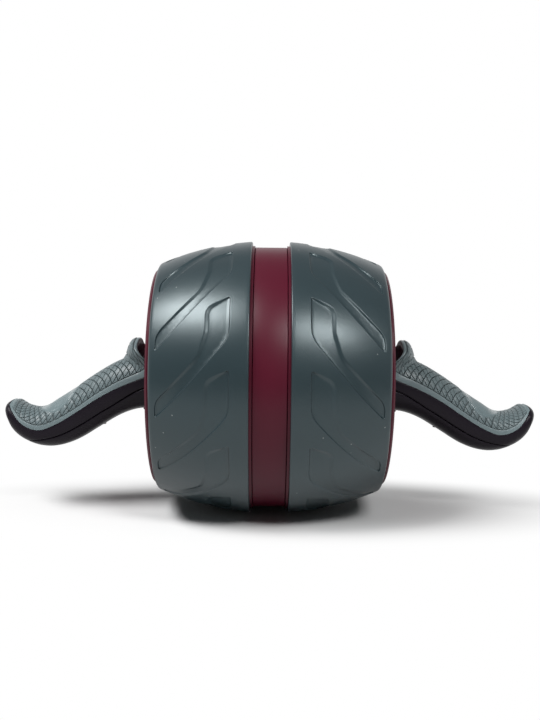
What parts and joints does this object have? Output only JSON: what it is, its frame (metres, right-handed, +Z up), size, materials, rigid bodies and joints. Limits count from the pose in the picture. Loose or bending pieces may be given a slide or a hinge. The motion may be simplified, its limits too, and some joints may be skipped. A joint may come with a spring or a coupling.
{
  "type": "ab wheel roller",
  "caption": "Wide crowned rubber roller on a sprung drum with drooping ergonomic handles, rolled out and back on the floor for core exercise",
  "frame": {"origin": "middle of the axle, on the barrel's mid-plane", "axes": "+X along the axle to the right handle, +Y away from the user, +Z up"},
  "size_m": [0.3726, 0.1898, 0.1898],
  "materials": {
    "tread_rubber": "satin moulded rubber",
    "maroon_plastic": "satin moulded plastic",
    "grip_rubber": "soft-touch rubber with a raised scale texture",
    "black_plastic": "fine-grained moulded plastic",
    "button_plastic": "moulded plastic",
    "bush_nylon": "machined nylon",
    "axle_steel": "turned steel",
    "spring_steel": "blued spring steel",
    "screw_steel": "zinc-plated steel"
  },
  "bodies": {
    "handles_and_axle": {"left_grip": "grip_rubber", "right_grip": "grip_rubber", "left_upper_shell": "black_plastic", "right_upper_shell": "black_plastic", "left_lower_shell": "black_plastic", "right_lower_shell": "black_plastic", "axle": "axle_steel", "spring_arbor": "axle_steel", "arbor_pin": "axle_steel", "left_socket_sleeve": "axle_steel", "right_socket_sleeve": "axle_steel", "left_thrust_washer": "axle_steel", "right_thrust_washer": "axle_steel", "left_retaining_clip": "axle_steel", "right_retaining_clip": "axle_steel", "power_spring": "spring_steel", "left_button_spring": "spring_steel", "right_button_spring": "spring_steel", "left_handle_screws": "screw_steel", "right_handle_screws": "screw_steel"},
    "barrel": {"left_tread": "tread_rubber", "right_tread": "tread_rubber", "left_drum_half": "maroon_plastic", "right_drum_half": "maroon_plastic", "centre_band": "maroon_plastic", "left_side_cover": "maroon_plastic", "right_side_cover": "maroon_plastic", "left_bush": "bush_nylon", "right_bush": "bush_nylon", "drum_screws": "screw_steel", "left_cover_screws": "screw_steel", "right_cover_screws": "screw_steel"},
    "left_button": {"left_release_button": "button_plastic", "left_snap_pin": "axle_steel"},
    "right_button": {"right_release_button": "button_plastic", "right_snap_pin": "axle_steel"}
  },
  "joints": [
    {"name": "barrel_roll", "type": "hinge", "parent": "handles_and_axle", "child": "barrel", "pos_m": [0, 0, 0], "axis": [-1, 0, 0], "range_deg": [0, 990], "stiffness_Nm_per_rad": 0.25, "deforming": ["power_spring"]},
    {"name": "left_button_press", "type": "slide", "parent": "handles_and_axle", "child": "left_button", "axis": [0, 0, 1], "range_m": [0, 0.0033], "stiffness_N_per_m": 800, "springref_m": -0.003, "deforming": ["left_button_spring"]},
    {"name": "right_button_press", "type": "slide", "parent": "handles_and_axle", "child": "right_button", "axis": [0, 0, 1], "range_m": [0, 0.0033], "stiffness_N_per_m": 800, "springref_m": -0.003, "deforming": ["right_button_spring"]}
  ]
}
